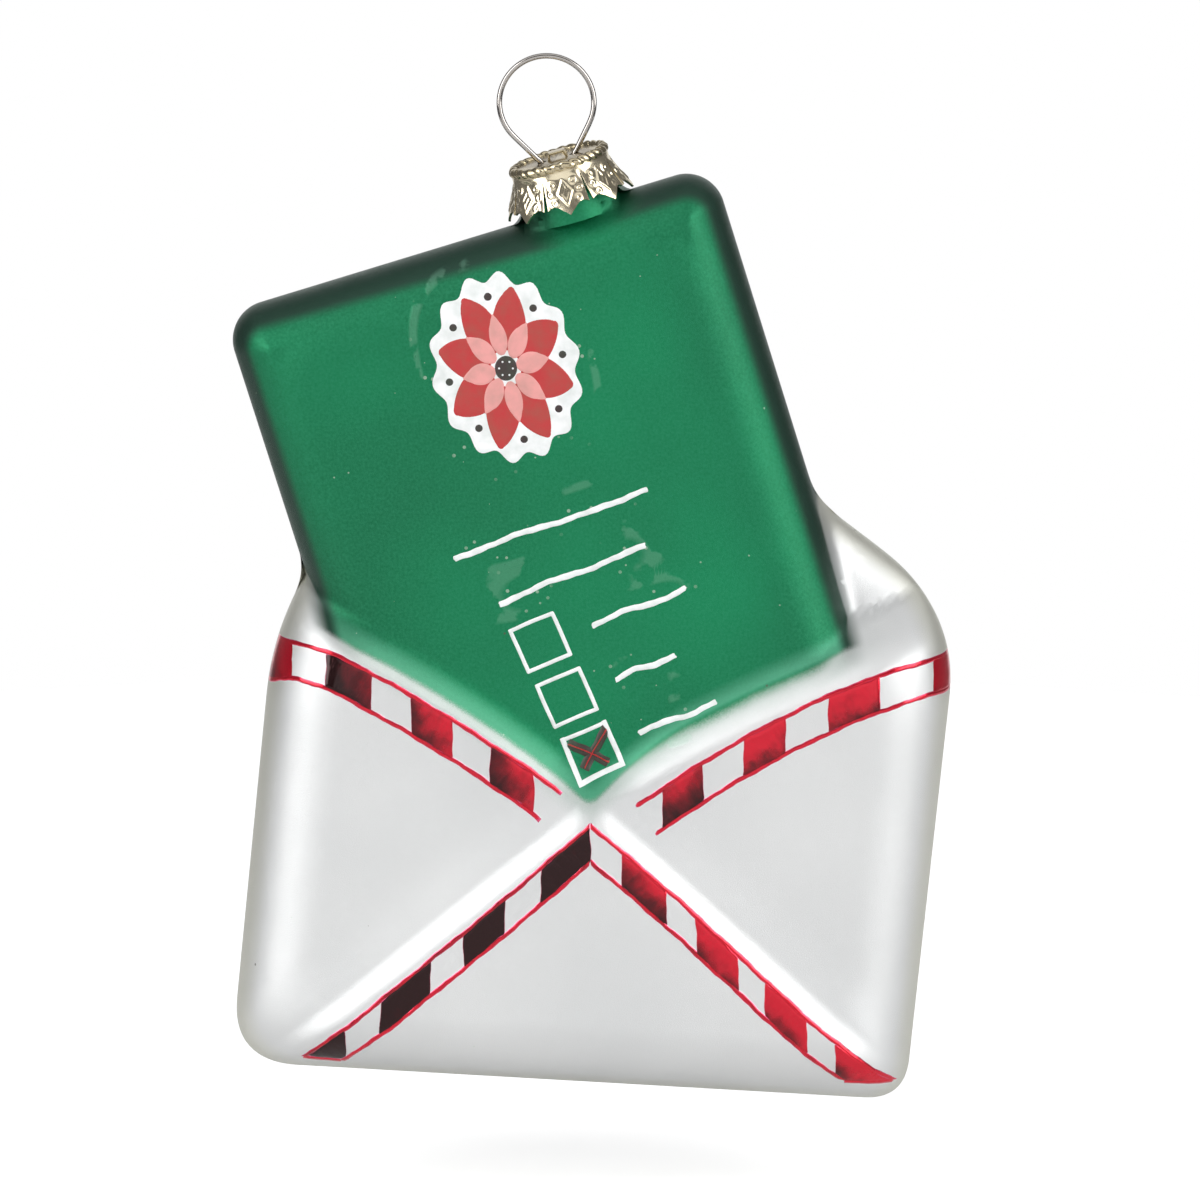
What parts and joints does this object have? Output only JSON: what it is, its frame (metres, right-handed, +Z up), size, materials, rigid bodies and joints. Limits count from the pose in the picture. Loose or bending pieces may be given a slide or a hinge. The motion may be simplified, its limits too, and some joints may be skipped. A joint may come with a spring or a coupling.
{
  "type": "glass envelope ornament",
  "caption": "Hanging ornament: a hollow blown glass letter in an open envelope, with a stamped crown cap and a spring wire loop.",
  "frame": {"origin": "the hang point: the top of the inside of the wire loop, where a hook bears", "axes": "+Z up as the ornament hangs, front of the envelope faces -Y, +X to the right seen from the front"},
  "size_m": [0.0896, 0.023, 0.1328],
  "materials": {
    "lacquered_glass": "satin",
    "gold_tone_sheet": "polished",
    "spring_wire": "polished"
  },
  "bodies": {
    "hanger": {"hanger_wire": "spring_wire"},
    "cap": {"cap": "gold_tone_sheet"},
    "glass": {"glass_body": "lacquered_glass"}
  },
  "joints": [
    {"name": "hanger_rock", "type": "hinge", "parent": "hanger", "child": "cap", "pos_m": [0.00142, 0, -0.01256], "axis": [0.9613, 0, 0.2756], "range_deg": [-10, 10]},
    {"name": "cap_pull_off", "type": "slide", "parent": "cap", "child": "glass", "axis": [0.2756, 0, -0.9613], "range_m": [0, 0.008]}
  ]
}
